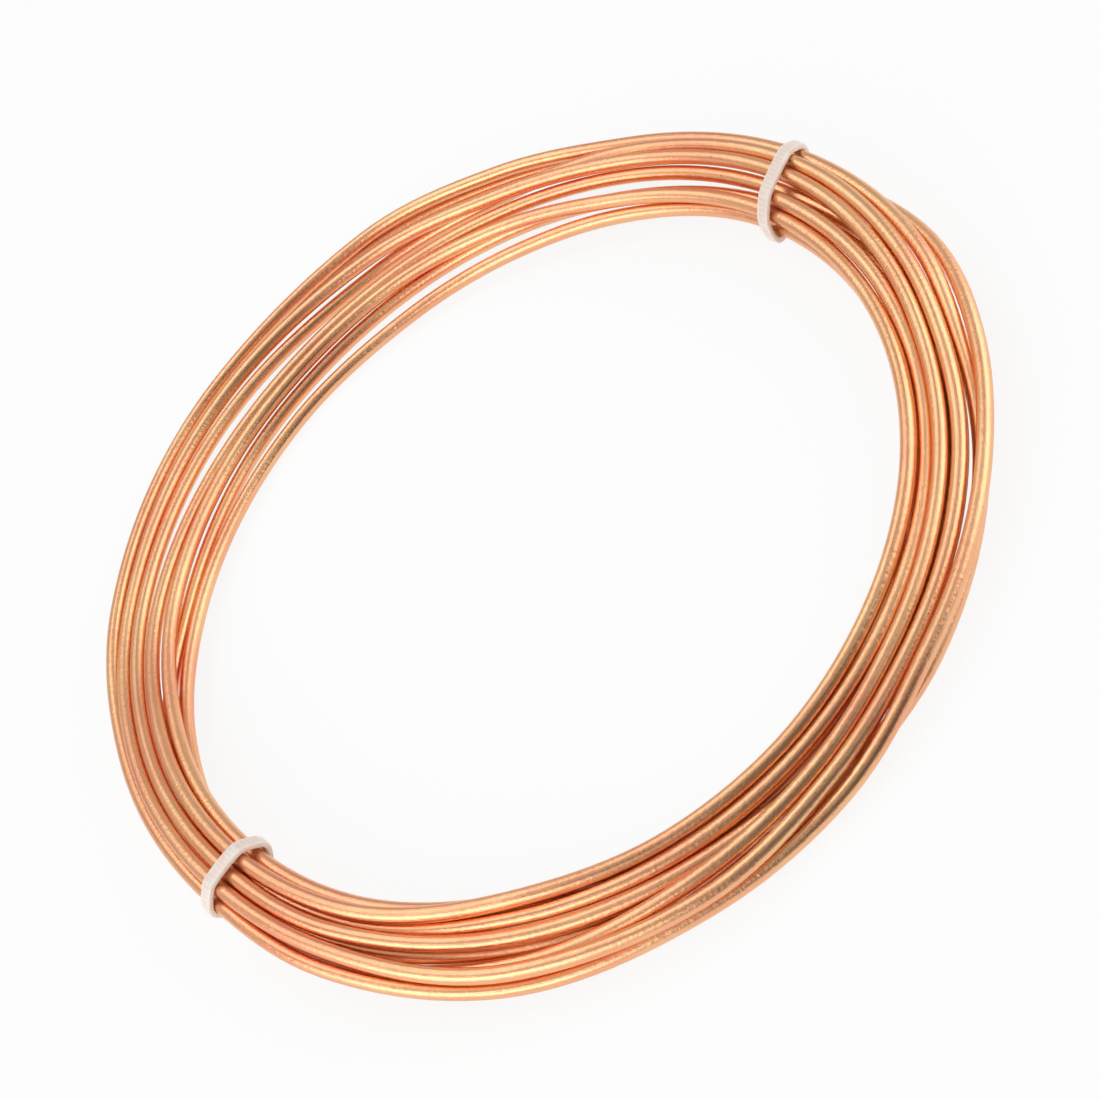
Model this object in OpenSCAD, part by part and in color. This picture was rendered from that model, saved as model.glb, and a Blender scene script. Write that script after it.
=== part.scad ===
// Coil of copper capillary tube: one length of tube, wound in a loose bundle and bound by two cable ties.
// The coil lies flat, its axis is Z, and the origin is on the floor under the middle of the coil.

/* [Copper tube] */
// Outside diameter of the tube
tube_od = 2; // [1.5:0.1:3]
// Inside diameter of the tube
tube_id = 1; // [0.4:0.1:1.2]
// Gap left between turns that lie side by side
turn_gap = 0.06; // [0.04:0.01:0.2]

/* [Coil] */
// Diameter of the coil at the middle of its turns
coil_mean_d = 112; // [90:1:160]
// Angle at which the first end of the tube lies, hidden inside the bundle under the left tie
start_angle = 192; // [192:10:212]
// Angle swept by the whole tube, eight and a half turns, so that its last end lies under the right tie
sweep_angle = 3060; // [3000:10:3060]

/* [Cable ties] */
// Width of a strap, along the tube
tie_w = 1.9; // [1.5:0.1:3]
// Thickness of a strap
tie_t = 0.8; // [0.6:0.1:1.4]
// Gap between the strap and the turns that it holds
tie_clear = 0.2; // [0.15:0.05:0.4]
// Width of the locking head, along the tube
tie_head_w = 3.8; // [3.6:0.1:6]
// Length of the locking head, across the bundle
tie_head_l = 4.4; // [4:0.1:6]
// Height of the locking head, from the floor to the inside of the strap
tie_head_h = 3; // [2.6:0.1:4]
// Depth of the slot in the head below the cut end of the strap
tie_slot_depth = 0.5; // [0.3:0.1:1]
// Play of the cut end of the strap in its slot
tie_slot_play = 0.2; // [0.1:0.05:0.4]
// Angle by which the left tie has slid along the bundle, toward the near side
tie_left_slide = 1.4; // [-2:0.1:2]
// Lean of the right strap: its run along the tube for each unit that it goes outward across the bundle
tie_right_lean = 0.3; // [-0.4:0.02:0.4]

/* [Hidden] */
copper = [0.86, 0.53, 0.36];
nylon = [0.94, 0.92, 0.9];
tube_sides = 8;
ring_step = 10;
overrun = 0.1;
pitch = tube_od + turn_gap;
coil_r = coil_mean_d / 2;

// Angles at which the lay of a turn is set, from the left tie round the near side to the right tie and back
stations = [192, 212, 236, 258, 276, 294, 318, 333, 348, 372, 400, 420, 440, 465, 500, 525];
tie_left_angle = stations[0];
tie_right_angle = stations[9];

// Lay of each turn at those angles: how far outside the mean circle and how high over the lowest turn its
// middle is, as shares of the pitch. The ties draw the turns into a round bundle three deep. Between them
// the turns braid over one another on the near side, and on the far side they spread, the outer ones bulge
// and one runs alone inside the rest.
lay_shares = [
    // Starts inside the bundle, comes out below the outer edge and ends as the outer top turn
    [[0, 0.87], [0.18, 0.72], [0.02, 0.05], [0.4, 0], [0.85, 0], [1.35, 0], [1.3, 0], [1.22, 0.5],
        [1.74, 1.1], [2.02, 1.05], [2.25, 1.05], [3.3, 1.35], [4.75, 1.45], [4.75, 1.45], [3.1, 1.5],
        [1.8, 1.15]],
    // Outer edge of the near side, then below the outer edge of the far side
    [[1.22, 1], [1.85, 0.85], [2.2, 0.05], [1.8, 0], [1.9, 0.47], [1.5, 1.07], [1.8, 1], [2.25, 0.85],
        [2.6, 0.35], [1.65, 0], [2.4, 0.05], [3.4, 0.25], [4.8, 0.4], [5.6, 0.5], [2.6, 0.4], [1.5, 0.1]],
    // Comes up between two top turns on the near side and stays on top
    [[0.5, 0], [1.12, 0.1], [1.04, 0.36], [0.6, 1.1], [0.05, 1.25], [-0.6, 1.1], [-0.65, 1.12],
        [-0.57, 1.32], [-0.28, 1.53], [0.2, 1.74], [0.3, 1.55], [0.85, 1.6], [2.75, 1.35], [3.37, 1.47],
        [2.05, 1.45], [0.92, 1.7]],
    // Top turn of the near side that sinks below the one before it on the far side
    [[0.5, 1.74], [0.95, 1.65], [1.82, 1.15], [1.78, 1.02], [1.05, 1.14], [0.42, 0.95], [0.45, 1],
        [0.45, 1.32], [0.72, 1.52], [1.2, 1.68], [1.3, 1.35], [1.5, 0.7], [2.5, 0.2], [2.38, 0.92],
        [1.02, 1.4], [-0.07, 1.7]],
    // Middle top turn that dives to the floor on the near side and comes up again behind the right tie
    [[-0.5, 1.74], [-0.17, 1.68], [-0.25, 1.02], [-0.35, 0.8], [-0.5, 0.25], [-0.2, 0.05], [0.1, 0.05],
        [0.25, 0.25], [0.35, 0.4], [-0.52, 0.89], [-0.25, 0.7], [0.1, 0.65], [0.35, 0.75], [0.7, 0.6],
        [-0.05, 1.1], [-1.1, 1.6]],
    // Inner edge of the near side, then the inner top turn of the far side
    [[-1.5, 1.74], [-1.45, 1.75], [-2.03, 1.84], [-2.4, 1.2], [-2.5, 1.2], [-2.65, 1.2], [-2.4, 1.42],
        [-2.35, 1.3], [-2.3, 1.1], [-2.2, 1], [-2.4, 0.95], [-1.6, 0.98], [-0.75, 0.99], [-0.45, 0.9],
        [-1.25, 1.03], [-2, 1.1]],
    // Below the inner edge of the near side, then alone inside the rest on the far side
    [[-2.2, 1], [-2.15, 0.95], [-2.4, 0.9], [-2.1, 0.1], [-2.5, 0.1], [-2.25, 0.1], [-2.55, 0.33],
        [-2.4, 0.3], [-2.25, 0.1], [-2.3, 0], [-3, 0], [-3.3, 0], [-3.25, 0], [-2.75, 0], [-2.65, 0],
        [-2.1, 0]],
    // On the floor all round, below the inner top turn on the far side
    [[-1.5, 0], [-1.55, 0], [-1.55, 0.05], [-1.1, 0], [-1.48, 0], [-1.2, 0], [-0.9, 0], [-0.72, 0],
        [-0.65, 0.05], [-1.14, 0], [-1.5, 0], [-1.26, 0], [-1.06, 0], [-1, 0], [-1.65, 0], [-1, 0.35]],
    // Last turn: inner top turn of the near side, which ends under the right tie
    [[-1, 0.87], [-1, 0.85], [-1.3, 1.08], [-1.35, 1], [-1.5, 1], [-1.63, 0.95], [-1.6, 0.75], [-1.45, 0.8],
        [-1.3, 1.3], [-1.45, 1.66], [-1.45, 1.66], [-1.45, 1.66], [-1.45, 1.66], [-1.45, 1.66],
        [-1.45, 1.66], [-1.45, 1.66]]
];
per_turn = len(stations);
station_count = per_turn * len(lay_shares);

// The stations of all the turns, numbered along the tube
function station_angle(i) = stations[i % per_turn] + 360 * floor(i / per_turn);
function station_lay(i) = lay_shares[floor(i / per_turn)][i % per_turn];

// The station at or before an angle along the tube
function station_before(a, i = 0) =
    i + 2 < station_count && station_angle(i + 1) <= a ? station_before(a, i + 1) : i;

// How fast the lay changes at a station: level at a peak or dip, so that no turn swings past its place
function steady(before, after) = before * after <= 0 ? 0 : 2 * before * after / (before + after);
function lay_step(i) =
    (station_lay(i + 1) - station_lay(i)) / (station_angle(i + 1) - station_angle(i));
function lay_slope(i) =
    i == 0 || i == station_count - 1 ? [0, 0]
    : let (before = lay_step(i - 1), after = lay_step(i))
        [steady(before[0], after[0]), steady(before[1], after[1])];

// Smooth lay of the tube at an angle along it
function lay_at(a) =
    let (
        i = station_before(a),
        span = station_angle(i + 1) - station_angle(i),
        s = max(0, a - station_angle(i)) / span,
        rest = 1 - s
    )
    station_lay(i) * (1 + 2 * s) * rest * rest + lay_slope(i) * span * s * rest * rest
    + station_lay(i + 1) * (3 - 2 * s) * s * s - lay_slope(i + 1) * span * s * s * rest;

// The bundle is carried by the two tie heads and comes down to the floor half way between them
tie_seat = tie_head_h + tie_clear;
function turned(a) = a - 360 * floor((a - tie_left_angle) / 360);
function between(a, from, to) = abs(2 * a - from - to) / (to - from);
function lift_share(a) =
    let (
        b = turned(a),
        away = b < tie_right_angle ? between(b, tie_left_angle, tie_right_angle)
                                   : between(b, tie_right_angle, tie_left_angle + 360)
    )
    away * away * (3 - 2 * away);

// Radius and height of the middle of the tube, and the point in space
function tube_radius(a) = coil_r + pitch * lay_at(a)[0];
function tube_height(a) = tube_od / 2 + tie_seat * lift_share(a) + pitch * lay_at(a)[1];
function tube_point(a) = [tube_radius(a) * cos(a), tube_radius(a) * sin(a), tube_height(a)];

angles = [for (a = [start_angle : ring_step : start_angle + sweep_angle]) a];
path = [for (a = angles) tube_point(a)];
middle_x = (max([for (p = path) p[0]]) + min([for (p = path) p[0]])) / 2;
middle_y = (max([for (p = path) p[1]]) + min([for (p = path) p[1]])) / 2;

// Ring of points round the tube at one place on its path
function unit(v) = v / norm(v);
function tube_ring(i, d) =
    let (
        along = unit(path[min(i + 1, len(path) - 1)] - path[max(i - 1, 0)]),
        side = unit(cross(along, [0, 0, 1])),
        up = cross(side, along)
    )
    [for (k = [0 : tube_sides - 1])
        let (turn = 360 * k / tube_sides)
        path[i] + d / 2 * (cos(turn) * side + sin(turn) * up)];

// Faces between one row of points and another, both running round the tube
function band(row_a, row_b) =
    [for (k = [0 : tube_sides - 1])
        let (n = (k + 1) % tube_sides)
        each [[row_a + k, row_a + n, row_b + n], [row_a + k, row_b + n, row_b + k]]];

module copper_tube() {
    rows = len(path);
    outside = [for (i = [0 : rows - 1]) each tube_ring(i, tube_od)];
    bore = [for (i = [0 : rows - 1]) each tube_ring(i, tube_id)];
    bore_from = rows * tube_sides;
    last = (rows - 1) * tube_sides;
    skin = [for (i = [0 : rows - 2]) each band(i * tube_sides, (i + 1) * tube_sides)];
    wall = [for (i = [0 : rows - 2])
        each band(bore_from + (i + 1) * tube_sides, bore_from + i * tube_sides)];
    first_end = band(bore_from, 0);
    last_end = band(last, bore_from + last);
    color(copper)
        translate([-middle_x, -middle_y, 0])
            polyhedron(concat(outside, bore), concat(skin, wall, first_end, last_end));
}

// Middles of the turns where they pass through a tie, across the bundle and up
function held_turns(angle, lean) =
    [for (k = [0 : len(lay_shares) - 1])
        let (a = angle + 360 * k)
        if (a >= start_angle && a <= start_angle + sweep_angle)
            let (turn = atan(lean * (tube_radius(a) / coil_r - 1)))
            [tube_radius(a + turn) * cos(turn), tube_height(a + turn)]];

module bundle_outline(angle, lean, gap) {
    offset(r = gap, $fn = 32)
        hull()
            for (place = held_turns(angle, lean))
                translate(place)
                    circle(d = tube_od, $fn = 32);
}

module cable_tie(angle, lean) {
    places = held_turns(angle, lean);
    middle_r = (max([for (p = places) p[0]]) + min([for (p = places) p[0]])) / 2;
    slot_l = tie_t + tie_slot_play;
    slot_w = tie_w + tie_slot_play;
    color(nylon)
        translate([-middle_x, -middle_y, 0])
            rotate([0, 0, angle])
                difference() {
                    union() {
                        multmatrix([[1, 0, 0, 0], [lean, 1, 0, -lean * coil_r], [0, 0, 1, 0]])
                            translate([0, tie_w / 2, 0])
                                rotate([90, 0, 0])
                                    linear_extrude(tie_w)
                                        difference() {
                                            bundle_outline(angle, lean, tie_clear + tie_t);
                                            bundle_outline(angle, lean, tie_clear);
                                        }
                        translate([middle_r - tie_head_l / 2, -tie_head_w / 2, 0])
                            cube([tie_head_l, tie_head_w, tie_head_h]);
                    }
                    translate([middle_r - slot_l / 2, -slot_w / 2, -overrun])
                        cube([slot_l, slot_w, tie_slot_depth + overrun]);
                }
}

module cable_tie_right() {
    cable_tie(tie_right_angle, tie_right_lean);
}

module cable_tie_left() {
    cable_tie(tie_left_angle + tie_left_slide, 0);
}

copper_tube();
cable_tie_right();
cable_tie_left();
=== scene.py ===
import math
import bmesh
import bpy
from mathutils import Matrix, Vector


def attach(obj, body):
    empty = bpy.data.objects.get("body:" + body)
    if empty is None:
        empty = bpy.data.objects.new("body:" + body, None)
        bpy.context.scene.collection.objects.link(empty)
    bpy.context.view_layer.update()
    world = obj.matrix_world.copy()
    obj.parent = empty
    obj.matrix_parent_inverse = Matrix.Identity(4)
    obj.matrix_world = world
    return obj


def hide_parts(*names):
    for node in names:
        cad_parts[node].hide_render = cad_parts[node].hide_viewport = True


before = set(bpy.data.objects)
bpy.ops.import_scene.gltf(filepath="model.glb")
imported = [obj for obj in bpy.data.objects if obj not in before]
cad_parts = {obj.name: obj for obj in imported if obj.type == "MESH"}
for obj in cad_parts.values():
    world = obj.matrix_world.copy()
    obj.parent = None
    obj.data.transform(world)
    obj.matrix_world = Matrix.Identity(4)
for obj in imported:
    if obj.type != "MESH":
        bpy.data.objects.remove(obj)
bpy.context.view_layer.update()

scene = bpy.context.scene
scene.view_settings.view_transform = "Standard"
print("frame loaded:", sorted(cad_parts))


# the copper tube: one length, wound eight and a half times round and never quite the same way twice
tubeCoil = {
    "od": 0.002,
    "bore": 0.001,
    "turnGap": 0.00006,
    "meanRadius": 0.056,
    "startAngle": 192,
    "sweepAngle": 3060,
    "seat": 0.0032,  # how high the tie heads carry the bundle
    "tieAngles": (192, 372),
    "ringStep": 2,
    "boreStep": 6,
    "frameStep": 10,  # ring spacing of the solid, which centres the coil
    "sides": 24,
    # rounded lip of a cut end: how far back from the cut, and radius as a share of the outside
    "lip": [(0.00016, 1.0), (0.00006, 0.975), (0.0, 0.91), (0.0, 0.57), (0.0001, 0.5)],
    "stations": [192, 212, 236, 258, 276, 294, 318, 333, 348, 372, 400, 420, 440, 465, 500, 525],
    # place of each turn at each station: outwards and up, in pitches
    "lay": [
        [(0, 0.87), (0.18, 0.72), (0.02, 0.05), (0.4, 0), (0.85, 0), (1.35, 0), (1.3, 0), (1.22, 0.5), (1.74, 1.1),
         (2.02, 1.05), (2.25, 1.05), (3.3, 1.35), (4.75, 1.45), (4.75, 1.45), (3.1, 1.5), (1.8, 1.15)],
        [(1.22, 1), (1.85, 0.85), (2.2, 0.05), (1.8, 0), (1.9, 0.47), (1.5, 1.07), (1.8, 1), (2.25, 0.85),
         (2.6, 0.35), (1.65, 0), (2.4, 0.05), (3.4, 0.25), (4.8, 0.4), (5.6, 0.5), (2.6, 0.4), (1.5, 0.1)],
        [(0.5, 0), (1.12, 0.1), (1.04, 0.36), (0.6, 1.1), (0.05, 1.25), (-0.6, 1.1), (-0.65, 1.12), (-0.57, 1.32),
         (-0.28, 1.53), (0.2, 1.74), (0.3, 1.55), (0.85, 1.6), (2.75, 1.35), (3.37, 1.47), (2.05, 1.45),
         (0.92, 1.7)],
        [(0.5, 1.74), (0.95, 1.65), (1.82, 1.15), (1.78, 1.02), (1.05, 1.14), (0.42, 0.95), (0.45, 1), (0.45, 1.32),
         (0.72, 1.52), (1.2, 1.68), (1.3, 1.35), (1.5, 0.7), (2.5, 0.2), (2.38, 0.92), (1.02, 1.4), (-0.07, 1.7)],
        [(-0.5, 1.74), (-0.17, 1.68), (-0.25, 1.02), (-0.35, 0.8), (-0.5, 0.25), (-0.2, 0.05), (0.1, 0.05),
         (0.25, 0.25), (0.35, 0.4), (-0.52, 0.89), (-0.25, 0.7), (0.1, 0.65), (0.35, 0.75), (0.7, 0.6), (-0.05, 1.1),
         (-1.1, 1.6)],
        [(-1.5, 1.74), (-1.45, 1.75), (-2.03, 1.84), (-2.4, 1.2), (-2.5, 1.2), (-2.65, 1.2), (-2.4, 1.42),
         (-2.35, 1.3), (-2.3, 1.1), (-2.2, 1), (-2.4, 0.95), (-1.6, 0.98), (-0.75, 0.99), (-0.45, 0.9),
         (-1.25, 1.03), (-2, 1.1)],
        [(-2.2, 1), (-2.15, 0.95), (-2.4, 0.9), (-2.1, 0.1), (-2.5, 0.1), (-2.25, 0.1), (-2.55, 0.33), (-2.4, 0.3),
         (-2.25, 0.1), (-2.3, 0), (-3, 0), (-3.3, 0), (-3.25, 0), (-2.75, 0), (-2.65, 0), (-2.1, 0)],
        [(-1.5, 0), (-1.55, 0), (-1.55, 0.05), (-1.1, 0), (-1.48, 0), (-1.2, 0), (-0.9, 0), (-0.72, 0),
         (-0.65, 0.05), (-1.14, 0), (-1.5, 0), (-1.26, 0), (-1.06, 0), (-1, 0), (-1.65, 0), (-1, 0.35)],
        [(-1, 0.87), (-1, 0.85), (-1.3, 1.08), (-1.35, 1), (-1.5, 1), (-1.63, 0.95), (-1.6, 0.75), (-1.45, 0.8),
         (-1.3, 1.3), (-1.45, 1.66), (-1.45, 1.66), (-1.45, 1.66), (-1.45, 1.66), (-1.45, 1.66), (-1.45, 1.66),
         (-1.45, 1.66)],
    ],
}
tubePitch = tubeCoil["od"] + tubeCoil["turnGap"]
stationAngles = [angle + 360 * turn for turn in range(len(tubeCoil["lay"])) for angle in tubeCoil["stations"]]
stationLays = [Vector(place) for turn in tubeCoil["lay"] for place in turn]


def steady(before, after):
    return 0 if before * after <= 0 else 2 * before * after / (before + after)


def stationSlopes():
    steps = [(stationLays[i + 1] - stationLays[i]) / (stationAngles[i + 1] - stationAngles[i])
             for i in range(len(stationLays) - 1)]
    inner = [Vector((steady(a.x, b.x), steady(a.y, b.y))) for a, b in zip(steps, steps[1:])]
    return [Vector((0, 0)), *inner, Vector((0, 0))]


laySlopes = stationSlopes()


def layAt(angle):
    i = max(k for k in range(len(stationAngles) - 1) if stationAngles[k] <= angle)
    span = stationAngles[i + 1] - stationAngles[i]
    s = (angle - stationAngles[i]) / span
    rest = 1 - s
    return (stationLays[i] * (1 + 2 * s) * rest * rest + laySlopes[i] * span * s * rest * rest
            + stationLays[i + 1] * (3 - 2 * s) * s * s - laySlopes[i + 1] * span * s * s * rest)


def liftAt(angle):
    left, right = tubeCoil["tieAngles"]
    turned = (angle - left) % 360 + left
    low, high = (left, right) if turned < right else (right, left + 360)
    away = abs(2 * turned - low - high) / (high - low)
    return tubeCoil["seat"] * away * away * (3 - 2 * away)


def turnPlace(angle):  # radius and height of the tube's middle
    lay = layAt(angle)
    return (tubeCoil["meanRadius"] + tubePitch * lay.x,
            tubeCoil["od"] / 2 + liftAt(angle) + tubePitch * lay.y)


def rawPoint(angle):
    radius, height = turnPlace(angle)
    return Vector((radius * math.cos(math.radians(angle)), radius * math.sin(math.radians(angle)), height))


def anglesBy(step):
    return range(tubeCoil["startAngle"], tubeCoil["startAngle"] + tubeCoil["sweepAngle"] + 1, step)


framePoints = [rawPoint(angle) for angle in anglesBy(tubeCoil["frameStep"])]
coilMiddle = Vector([(max(p[k] for p in framePoints) + min(p[k] for p in framePoints)) / 2 for k in (0, 1)] + [0])


def finishPiece(bm, name, material, node):
    bmesh.ops.recalc_face_normals(bm, faces=bm.faces)
    mesh = bpy.data.meshes.new(name)
    bm.to_mesh(mesh)
    bm.free()
    mesh.materials.append(material)
    mesh.shade_smooth()
    piece = bpy.data.objects.new(name, mesh)
    scene.collection.objects.link(piece)
    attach(piece, "root")
    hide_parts(node)
    print(name, "made,", sum(len(p.vertices) - 2 for p in mesh.polygons), "triangles")


# node helpers
def newMaterial(name):
    material = bpy.data.materials.new(name)
    material.use_nodes = True
    tree = material.node_tree
    return material, tree, tree.nodes["Principled BSDF"]


def addNode(tree, kind, inputs=(), **settings):
    node = tree.nodes.new(kind)
    for key, value in settings.items():
        setattr(node, key, value)
    for key, value in dict(inputs).items():
        if isinstance(value, bpy.types.NodeSocket):
            tree.links.new(value, node.inputs[key])
        else:
            node.inputs[key].default_value = value
    return node


def addRamp(tree, factor, stops):
    ramp = addNode(tree, "ShaderNodeValToRGB", {"Fac": factor})
    elements = ramp.color_ramp.elements
    while len(elements) < len(stops):
        elements.new(0.5)
    for element, (place, colour) in zip(elements, stops):
        element.position = place
        element.color = (*colour, 1)
    return ramp.outputs["Color"]


# bright drawn copper: fine lines along the tube, a warm drift of colour, small handling marks
copperLook = {
    "rose": (0.89, 0.39, 0.22),
    "base": (0.92, 0.465, 0.25),
    "gold": (0.94, 0.54, 0.285),
    "mark": (0.62, 0.27, 0.14),
    "roughness": (0.22, 0.4),
    "lineScale": 5.0,
    "lineStretch": 6.0,  # noise units to a metre of tube
    "lineBump": 0.00006,
    "lineDetail": (5.0, 0.62),  # detail and roughness of each noise
    "driftScale": 55.0,
    "driftDetail": (3.0, 0.55),
    "tintStops": (0.4, 0.5, 0.6),  # where rose, base and gold stand
    "markScale": 1900.0,
    "markDetail": (2.0, 0.5),
    "markFrom": (0.68, 0.8),  # noise level at which a mark starts and is full
    "markStrength": 0.55,
    "pitShare": 1.6,  # depth of the pits beside that of the lines
    "bumpStrength": 0.5,
}


def addNoise(tree, place, scale, detail):
    fine, rough = detail
    noise = addNode(tree, "ShaderNodeTexNoise", {
        "Vector": place, "Scale": scale, "Detail": fine, "Roughness": rough})
    return noise.outputs["Fac"]


def makeCopper():
    material, tree, shader = newMaterial("drawnCopper")
    uv = addNode(tree, "ShaderNodeUVMap", uv_map="tubeUv")
    split = addNode(tree, "ShaderNodeSeparateXYZ", {"Vector": uv.outputs["UV"]})
    turn = addNode(tree, "ShaderNodeMath", {0: split.outputs["Y"], 1: 2 * math.pi}, operation="MULTIPLY")
    across = addNode(tree, "ShaderNodeMath", {0: turn.outputs[0]}, operation="COSINE")
    upward = addNode(tree, "ShaderNodeMath", {0: turn.outputs[0]}, operation="SINE")
    along = addNode(tree, "ShaderNodeMath", {0: split.outputs["X"], 1: copperLook["lineStretch"]},
                    operation="MULTIPLY")
    lines = addNode(tree, "ShaderNodeCombineXYZ",
                    {"X": across.outputs[0], "Y": upward.outputs[0], "Z": along.outputs[0]})
    drawn = addNoise(tree, lines.outputs[0], copperLook["lineScale"], copperLook["lineDetail"])
    place = addNode(tree, "ShaderNodeTexCoord").outputs["Object"]
    drift = addNoise(tree, place, copperLook["driftScale"], copperLook["driftDetail"])
    marks = addNoise(tree, place, copperLook["markScale"], copperLook["markDetail"])
    tint = addNode(tree, "ShaderNodeMath", {0: drawn, 1: drift}, operation="ADD")
    half = addNode(tree, "ShaderNodeMath", {0: tint.outputs[0], 1: 0.5}, operation="MULTIPLY")
    tints = [copperLook[name] for name in ("rose", "base", "gold")]
    colour = addRamp(tree, half.outputs[0], list(zip(copperLook["tintStops"], tints)))
    start, full = copperLook["markFrom"]
    spots = addNode(tree, "ShaderNodeMapRange", {
        "Value": marks, "From Min": start, "From Max": full, "To Min": 0.0, "To Max": copperLook["markStrength"]})
    mixed = addNode(tree, "ShaderNodeMix", {0: spots.outputs[0], 6: colour, 7: (*copperLook["mark"], 1)},
                    data_type="RGBA")
    tree.links.new(mixed.outputs[2], shader.inputs["Base Color"])
    low, high = copperLook["roughness"]
    rough = addNode(tree, "ShaderNodeMapRange", {
        "Value": drawn, "From Min": 0.3, "From Max": 0.7, "To Min": low, "To Max": high})
    tree.links.new(rough.outputs[0], shader.inputs["Roughness"])
    pits = addNode(tree, "ShaderNodeMath", {0: marks, 1: copperLook["pitShare"]}, operation="MULTIPLY")
    height = addNode(tree, "ShaderNodeMath", {0: drawn, 1: pits.outputs[0]}, operation="SUBTRACT")
    bump = addNode(tree, "ShaderNodeBump", {
        "Height": height.outputs[0], "Strength": copperLook["bumpStrength"], "Distance": copperLook["lineBump"]})
    tree.links.new(bump.outputs[0], shader.inputs["Normal"])
    shader.inputs["Metallic"].default_value = 1.0
    return material


def makeTube():
    bm = bmesh.new()
    uvLayer = bm.loops.layers.uv.new("tubeUv")
    sides = tubeCoil["sides"]
    outside = tubeCoil["od"] / 2
    boreShare = tubeCoil["bore"] / tubeCoil["od"]
    angles = list(anglesBy(tubeCoil["ringStep"]))
    points = [rawPoint(angle) - coilMiddle for angle in angles]
    lengths = [0.0]
    for a, b in zip(points, points[1:]):
        lengths.append(lengths[-1] + (b - a).length)
    last = len(points) - 1

    def ring(i, back, share):  # one ring of points, moved along the tube by back
        along = (points[min(i + 1, last)] - points[max(i - 1, 0)]).normalized()
        side = along.cross(Vector((0, 0, 1))).normalized()
        up = side.cross(along)
        middle = points[i] + along * back
        turns = [2 * math.pi * k / sides - math.pi / 2 for k in range(sides)]
        verts = [bm.verts.new(middle + outside * share * (math.cos(t) * side + math.sin(t) * up)) for t in turns]
        return verts, lengths[i] + back

    boreGap = tubeCoil["boreStep"] // tubeCoil["ringStep"]
    rows = [ring(0, back, share) for back, share in reversed(tubeCoil["lip"])]
    rows += [ring(i, 0, 1) for i in range(1, last)]
    rows += [ring(last, -back, share) for back, share in tubeCoil["lip"]]
    rows += [ring(i, 0, boreShare) for i in range(last - 1, 0, -1) if i % boreGap == 0]
    for (rowA, alongA), (rowB, alongB) in zip(rows, rows[1:] + rows[:1]):
        for k in range(sides):
            n = (k + 1) % sides
            face = bm.faces.new((rowA[k], rowA[n], rowB[n], rowB[k]))
            spots = ((alongA, k), (alongA, k + 1), (alongB, k + 1), (alongB, k))
            for loop, (along, step) in zip(face.loops, spots):
                loop[uvLayer].uv = (along, step / sides)
    print("tube wound:", round(lengths[-1], 3), "m")
    finishPiece(bm, "copperTube", makeCopper(), "copper_tube")


makeTube()


# cable ties: a toothed strap pulled round the bundle, its locking head underneath
cableTie = {
    "width": 0.0019,
    "thickness": 0.0008,
    "clear": 0.00004,
    "ease": 4.5,  # degrees that the strap's bends are spread over
    "bandSteps": 720,
    "edgeRound": 0.00018,
    "edgeBends": (0.0, 0.52, 1.05, math.pi / 2),
    "crown": 0.00008,  # the outside of the strap is a little fuller in the middle
    "leftSlide": 1.4,  # degrees that the left tie has slid along the bundle
    "rightLean": 0.3,  # run of the right strap along the tube for each unit outward
    "trackHalf": 0.0005,  # the teeth lie in a sunk track between two smooth rails
    "trackSink": 0.00004,
    "toothPitch": 0.0006,
    "toothDepth": 0.0003,
    "toothSteps": 4,
    "toothRamp": 0.72,  # share of a tooth that ramps up before it steps down
    "headWidth": 0.0038,
    "headLength": 0.0044,
    "headHeight": 0.003,
    "headCorner": 0.0009,
    "slotDepth": 0.0005,
    "slotPlay": 0.0002,
    "slotLip": (0.0001, 0.00016),  # height of the slot's flared lip, and how much wider it is
    "cutBack": 0.00018,  # the trimmed tail stops this far inside the slot
    "tailFit": (0.92, 0.97),  # thickness and width of the tail beside those of the strap
    "tailRoot": 0.0002,  # how far the tail goes on past the bottom of the slot
    "tailBevel": (0.00006, 0.0001),  # height of the bevel on the cut, and how much narrower it is
    # side of the head from the floor up: height share, and how far it is drawn in
    "headProfile": [(0.0, 0.0003), (0.03, 0.00014), (0.09, 0.00002), (0.42, 0.0), (0.45, 0.00007), (0.49, 0.00007),
                    (0.52, 0.0), (0.91, 0.00002), (0.97, 0.00014), (1.0, 0.0003)],
}
nylonLook = {
    "clear": (0.99, 0.79, 0.69),
    "milky": (0.995, 0.89, 0.81),
    "cloudScale": 700.0,
    "cloudDetail": (3.0, 0.6),
    "cloudStops": (0.35, 0.65),
    "roughness": 0.36,
    "ior": 1.53,
    "subsurface": 0.3,
    "scatter": (1.0, 0.85, 0.75),
    "scatterScale": 0.0012,
    "transmission": 0.1,
    "grainScale": 2600.0,
    "grainDetail": (2.0, 0.5),
    "grainBump": (0.25, 0.00003),  # strength and depth
    # painted shade: a darker colour laid on the strap over its teeth, and how much of it
    "paintedToothShade": (0.74, 0.57, 0.53),
    "paintedToothShadeShare": 0.45,  # share of painted shade laid on the strap's colour over its teeth
}


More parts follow.
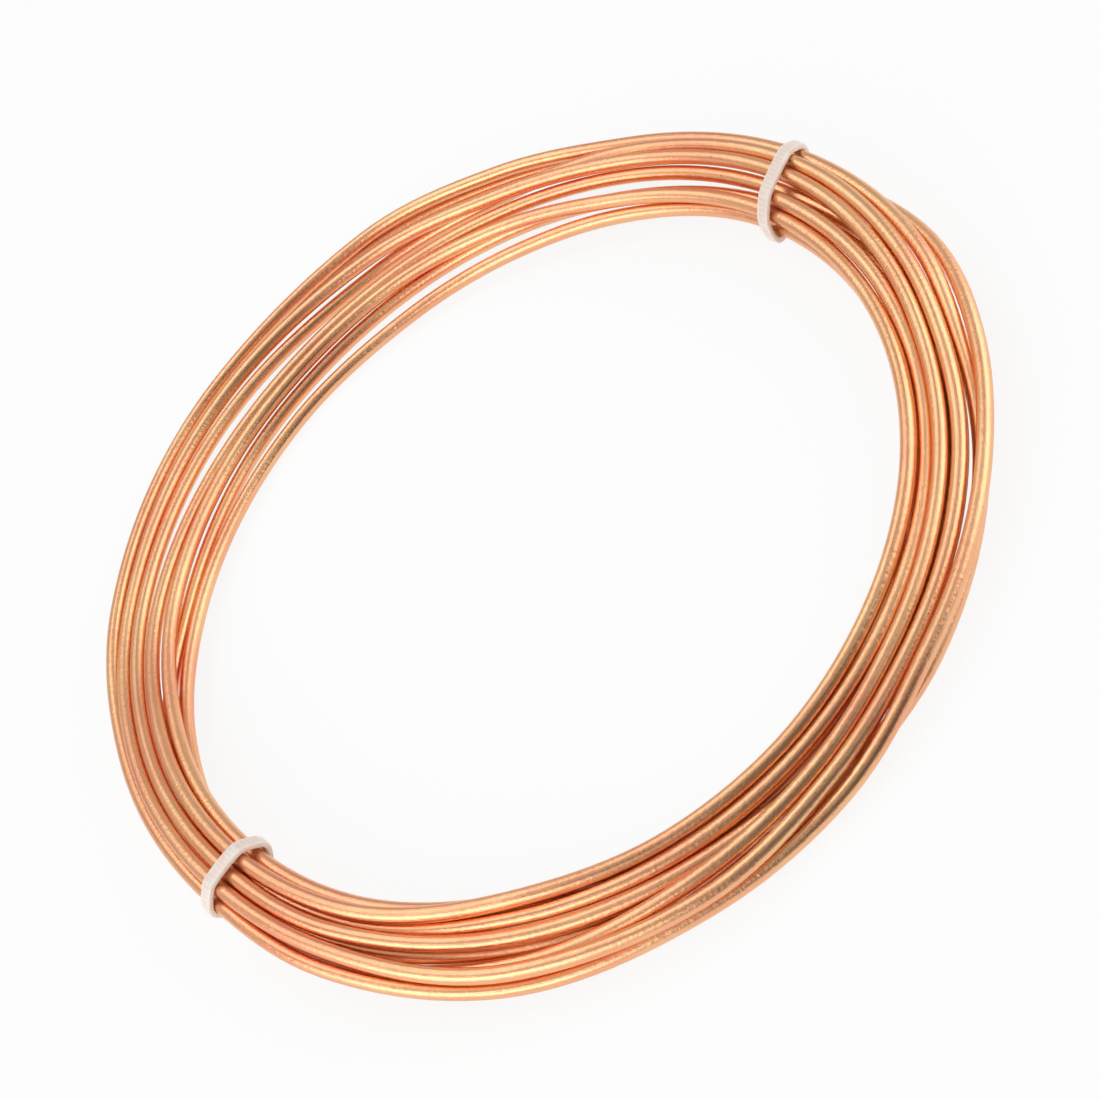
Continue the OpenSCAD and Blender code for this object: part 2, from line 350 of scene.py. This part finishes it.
def makeNylon():
    material, tree, shader = newMaterial("milkyNylon")
    place = addNode(tree, "ShaderNodeTexCoord").outputs["Object"]
    cloud = addNoise(tree, place, nylonLook["cloudScale"], nylonLook["cloudDetail"])
    thin, thick = nylonLook["cloudStops"]
    colour = addRamp(tree, cloud, [(thin, nylonLook["clear"]), (thick, nylonLook["milky"])])
    # painted shade: the strap's colour is darkened by tooth depth, standing in for the teeth seen through it
    teeth = addNode(tree, "ShaderNodeAttribute", attribute_name="toothDepth")
    paintedShadeShare = addNode(tree, "ShaderNodeMath", {0: teeth.outputs["Fac"], 1: nylonLook["paintedToothShadeShare"]},
                   operation="MULTIPLY")
    mixed = addNode(tree, "ShaderNodeMix", {0: paintedShadeShare.outputs[0], 6: colour, 7: (*nylonLook["paintedToothShade"], 1)},
                    data_type="RGBA")
    tree.links.new(mixed.outputs[2], shader.inputs["Base Color"])
    grain = addNoise(tree, place, nylonLook["grainScale"], nylonLook["grainDetail"])
    strength, depth = nylonLook["grainBump"]
    bump = addNode(tree, "ShaderNodeBump", {"Height": grain, "Strength": strength, "Distance": depth})
    tree.links.new(bump.outputs[0], shader.inputs["Normal"])
    shader.inputs["Roughness"].default_value = nylonLook["roughness"]
    shader.inputs["IOR"].default_value = nylonLook["ior"]
    shader.inputs["Subsurface Weight"].default_value = nylonLook["subsurface"]
    shader.inputs["Subsurface Radius"].default_value = nylonLook["scatter"]
    shader.inputs["Subsurface Scale"].default_value = nylonLook["scatterScale"]
    shader.inputs["Transmission Weight"].default_value = nylonLook["transmission"]
    return material


def leanTurn(radius, lean):  # degrees along the tube at which a leaning strap passes a radius
    return math.degrees(lean * (radius / tubeCoil["meanRadius"] - 1))


def heldTurns(angle, lean):  # where the turns pass through a strap that leans along them
    end = tubeCoil["startAngle"] + tubeCoil["sweepAngle"]
    places = []
    for k in range(len(tubeCoil["lay"])):
        if angle + 360 * k <= end:
            radius, _ = turnPlace(angle + 360 * k)
            places.append(Vector(turnPlace(angle + 360 * k + leanTurn(radius, lean))))
    return places


def bundleOutline(places, radius, step):  # points and outward normals of a stiff band pulled round the turns
    count = cableTie["bandSteps"]
    turns = [2 * math.pi * k / count for k in range(count)]
    reach = [max(p.x * math.cos(t) + p.y * math.sin(t) for p in places) + radius for t in turns]
    window = round(3 * cableTie["ease"] * count / 360)
    weights = [math.exp(-0.5 * (3 * j / window) ** 2) for j in range(-window, window + 1)]
    eased = [sum(w * reach[(k + j - window) % count] for j, w in enumerate(weights)) / sum(weights)
             for k in range(count)]
    slack = max(r - e for r, e in zip(reach, eased))  # so that the eased band clears every turn
    loop = []
    for k, t in enumerate(turns):
        normal = Vector((math.cos(t), math.sin(t)))
        slope = (eased[(k + 1) % count] - eased[k - 1]) * count / (4 * math.pi)
        loop.append(((eased[k] + slack) * normal + slope * Vector((-normal.y, normal.x)), normal))
    spots, gone = [], 0.0
    for (a, normalA), (b, normalB) in zip(loop, loop[1:] + loop[:1]):
        run = (b - a).length
        while gone < run:
            spots.append((a.lerp(b, gone / run), normalA.lerp(normalB, gone / run).normalized()))
            gone += step
        gone -= run
    return spots


def strapSection(tooth):  # across the strap and out from the bundle, the teeth in a track on its inside
    half, thick, r = cableTie["width"] / 2, cableTie["thickness"], cableTie["edgeRound"]
    track, sink = cableTie["trackHalf"], cableTie["trackSink"]
    floor = sink + tooth * cableTie["toothDepth"]
    bends = cableTie["edgeBends"]
    right = [(half - r + r * math.sin(t), r - r * math.cos(t)) for t in bends]
    right += [(half - r + r * math.cos(t), thick - cableTie["crown"] - r + r * math.sin(t)) for t in bends]
    top = [(w * (half - r), thick - cableTie["crown"] * w * w) for w in (0.5, 0, -0.5)]
    left = [(-w, h) for w, h in reversed(right)]
    inside = [(-track - sink, 0.0), (-track, floor), (track, floor), (track + sink, 0.0)]
    return right + top + left + inside


def bridge(bm, rows, closed):
    pairs = list(zip(rows, rows[1:] + rows[:1])) if closed else list(zip(rows, rows[1:]))
    for rowA, rowB in pairs:
        for k in range(len(rowA)):
            n = (k + 1) % len(rowA)
            bm.faces.new((rowA[k], rowA[n], rowB[n], rowB[k]))


def roundedBox(length, width, corner, steps=5):  # outline of a block with rounded corners
    outline = []
    for quarter, (sx, sy) in enumerate(((1, 1), (-1, 1), (-1, -1), (1, -1))):
        for k in range(steps + 1):
            t = math.pi / 2 * (quarter + k / steps)
            outline.append((sx * (length / 2 - corner) + corner * math.cos(t),
                            sy * (width / 2 - corner) + corner * math.sin(t)))
    return outline


def makeTie(name, node, angle, lean, material):
    bm = bmesh.new()

    def put(out, side, up, leaning=0):
        turn = math.radians(angle + leanTurn(out, leaning))
        outward = Vector((math.cos(turn), math.sin(turn), 0))
        across = Vector((-math.sin(turn), math.cos(turn), 0))
        return bm.verts.new(outward * out + across * side + Vector((0, 0, up)) - coilMiddle)

    toothLayer = bm.verts.layers.float.new("toothDepth")  # read by the nylon, which paints a darker shade over the teeth
    places = heldTurns(angle, lean)
    step = cableTie["toothPitch"] / cableTie["toothSteps"]
    spots = bundleOutline(places, tubeCoil["od"] / 2 + cableTie["clear"], step)
    run, walked = [0.0], 0.0
    for (a, _), (b, _) in zip(spots, spots[1:]):
        walked += (b - a).length
        run.append(walked)
    rows = []
    for (p, n), s in zip(spots, run):
        wave = (s / cableTie["toothPitch"]) % 1.0  # a ramp and a step, as moulded teeth are
        ramp = cableTie["toothRamp"]
        tooth = wave / ramp if wave < ramp else (1 - wave) / (1 - ramp)
        section = strapSection(tooth)
        rows.append([put(p.x + n.x * h, w, p.y + n.y * h, lean) for w, h in section])
        for vert, (w, _) in zip(rows[-1], section):
            vert[toothLayer] = tooth if abs(w) <= cableTie["trackHalf"] else 0.0
    bridge(bm, rows, closed=True)

    # locking head with its slot, and the trimmed tail in it
    middle = (max(p.x for p in places) + min(p.x for p in places)) / 2
    length, width, height = cableTie["headLength"], cableTie["headWidth"], cableTie["headHeight"]
    slotLength = cableTie["thickness"] + cableTie["slotPlay"]
    slotWidth = cableTie["width"] + cableTie["slotPlay"]

    def loft(levels, closeFirst, closeLast):
        rings = [[put(middle + x, y, z) for x, y in outline] for outline, z in levels]
        bridge(bm, rings, closed=False)
        if closeFirst:
            bm.faces.new(rings[0])
        if closeLast:
            bm.faces.new(rings[-1])

    slotCorner = cableTie["edgeRound"]
    lipHeight, lipFlare = cableTie["slotLip"]
    head = [(roundedBox(slotLength, slotWidth, slotCorner), cableTie["slotDepth"]),
            (roundedBox(slotLength, slotWidth, slotCorner), lipHeight),
            (roundedBox(slotLength + lipFlare, slotWidth + lipFlare, slotCorner), 0.0)]
    head += [(roundedBox(length - 2 * inset, width - 2 * inset, cableTie["headCorner"] - inset), height * share)
             for share, inset in cableTie["headProfile"]]
    loft(head, True, True)
    thinner, narrower = cableTie["tailFit"]
    tailLength, tailWidth = cableTie["thickness"] * thinner, cableTie["width"] * narrower
    bevel, shrink = cableTie["tailBevel"]
    loft([(roundedBox(tailLength, tailWidth, slotCorner), cableTie["slotDepth"] + cableTie["tailRoot"]),
          (roundedBox(tailLength, tailWidth, slotCorner), cableTie["cutBack"] + bevel),
          (roundedBox(tailLength - shrink, tailWidth - shrink, slotCorner), cableTie["cutBack"])], True, True)
    finishPiece(bm, name, material, node)


nylon = makeNylon()
makeTie("cableTieRight", "cable_tie_right", tubeCoil["tieAngles"][1], cableTie["rightLean"], nylon)
makeTie("cableTieLeft", "cable_tie_left", tubeCoil["tieAngles"][0] + cableTie["leftSlide"], 0, nylon)


# pale floor and soft studio light: one lamp high over the far side and one at each hand
studio = {
    "floorSize": 60.0,
    "floorColour": (0.9, 0.9, 0.9),
    "floorRoughness": 0.7,
    "floorDrop": 0.00003,  # just under the heads of the ties
    "floorGlow": 0.87,
    "worldColour": (0.54, 0.54, 0.54),
    # name, place, width and height, power, colour
    "lamps": [
        ("overFarSide", (-0.1, 0.33, 0.6), (0.5, 0.44), 0.9, (1.0, 0.99, 0.97)),
        ("leftHand", (-0.46, -0.2, 0.25), (0.7, 0.35), 1.62, (1.0, 0.99, 0.97)),
        ("rightHand", (0.49, -0.07, 0.22), (0.6, 0.4), 1.12, (1.0, 0.99, 0.97)),
    ],
    # grey card round the camera, seen only in the metal: middle and half width round, lowest and highest, degrees
    "cardRadius": 0.6,
    "cardTurn": (-72, 33),
    "cardRise": (2, 68),
    "cardGrey": 0.15,
    "cardSteps": 12,
}


def addStage(bm, name, material):
    mesh = bpy.data.meshes.new(name)
    bm.to_mesh(mesh)
    bm.free()
    mesh.materials.append(material)
    thing = bpy.data.objects.new(name, mesh)
    scene.collection.objects.link(thing)
    return thing


def makeFloor():
    material, tree, shader = newMaterial("paleFloor")
    shader.inputs["Base Color"].default_value = (*studio["floorColour"], 1)
    shader.inputs["Roughness"].default_value = studio["floorRoughness"]
    path = addNode(tree, "ShaderNodeLightPath")
    first = addNode(tree, "ShaderNodeMath", {0: path.outputs["Is Camera Ray"], 1: path.outputs["Is Glossy Ray"]},
                    operation="MAXIMUM")
    seen = addNode(tree, "ShaderNodeMath", {0: first.outputs[0], 1: path.outputs["Is Transmission Ray"]},
                   operation="MAXIMUM")
    share = addNode(tree, "ShaderNodeMath", {0: seen.outputs[0], 1: studio["floorGlow"]}, operation="MULTIPLY")
    glow = addNode(tree, "ShaderNodeEmission", {"Color": (1, 1, 1, 1), "Strength": 1.0})
    mix = addNode(tree, "ShaderNodeMixShader", {0: share.outputs[0], 1: shader.outputs[0], 2: glow.outputs[0]})
    tree.links.new(mix.outputs[0], tree.nodes["Material Output"].inputs["Surface"])
    bm = bmesh.new()
    bmesh.ops.create_grid(bm, x_segments=1, y_segments=1, size=studio["floorSize"] / 2)
    floor = addStage(bm, "floor", material)
    floor.location.z = -studio["floorDrop"]


def makeCard():
    material, tree, _ = newMaterial("greyCard")
    grey = studio["cardGrey"]
    glow = addNode(tree, "ShaderNodeEmission", {"Color": (grey, grey, grey, 1), "Strength": 1.0})
    tree.links.new(glow.outputs[0], tree.nodes["Material Output"].inputs["Surface"])
    middle, half = studio["cardTurn"]
    low, high = studio["cardRise"]
    bm = bmesh.new()
    steps = studio["cardSteps"]
    rows = []
    for i in range(steps + 1):
        rise = math.radians(low + (high - low) * i / steps)
        rows.append([])
        for k in range(steps + 1):
            turn = math.radians(middle - half + 2 * half * k / steps)
            rows[-1].append(bm.verts.new(studio["cardRadius"] * Vector((
                math.cos(rise) * math.cos(turn), math.cos(rise) * math.sin(turn), math.sin(rise)))))
    for rowA, rowB in zip(rows, rows[1:]):
        for k in range(steps):
            bm.faces.new((rowA[k], rowA[k + 1], rowB[k + 1], rowB[k]))
    card = addStage(bm, "greyCard", material)
    card.visible_camera = card.visible_diffuse = card.visible_shadow = card.visible_transmission = False


def makeWorld():
    world = bpy.data.worlds.new("studioWorld")
    world.use_nodes = True
    back = world.node_tree.nodes["Background"]
    back.inputs["Color"].default_value = (*studio["worldColour"], 1)
    back.inputs["Strength"].default_value = 1.0
    scene.world = world


def makeLamps():
    for name, place, (width, height), power, colour in studio["lamps"]:
        data = bpy.data.lights.new(name, "AREA")
        data.shape = "RECTANGLE"
        data.size, data.size_y = width, height
        data.energy = power
        data.color = colour
        lamp = bpy.data.objects.new(name, data)
        lamp.location = place
        lamp.rotation_mode = "QUATERNION"
        lamp.rotation_quaternion = (-Vector(place)).to_track_quat("-Z", "Y")
        scene.collection.objects.link(lamp)


makeFloor()
makeCard()
makeWorld()
makeLamps()
print("studio set")


# camera: looks down on the coil, and is turned about its own axis as in the photograph
cameraView = {
    "aim": Vector((0, 0, 0.0043)) - coilMiddle,
    "elevation": math.radians(45.6),
    "roll": math.radians(42.5),
    "distance": 0.28,
    "lens": 73.47,
    "shift": (0.0265, -0.0187),
}


def makeCamera():
    data = bpy.data.cameras.new("camera")
    data.sensor_width = 36
    data.lens = cameraView["lens"]
    data.shift_x, data.shift_y = cameraView["shift"]
    data.clip_start, data.clip_end = 0.01, 100
    camera = bpy.data.objects.new("camera", data)
    e = cameraView["elevation"]
    back = Vector((0, -math.cos(e), math.sin(e)))
    camera.location = cameraView["aim"] + back * cameraView["distance"]
    camera.rotation_mode = "QUATERNION"
    level = (-back).to_track_quat("-Z", "Y").to_matrix()
    camera.rotation_quaternion = (level @ Matrix.Rotation(-cameraView["roll"], 3, "Z")).to_quaternion()
    scene.collection.objects.link(camera)
    scene.camera = camera


makeCamera()
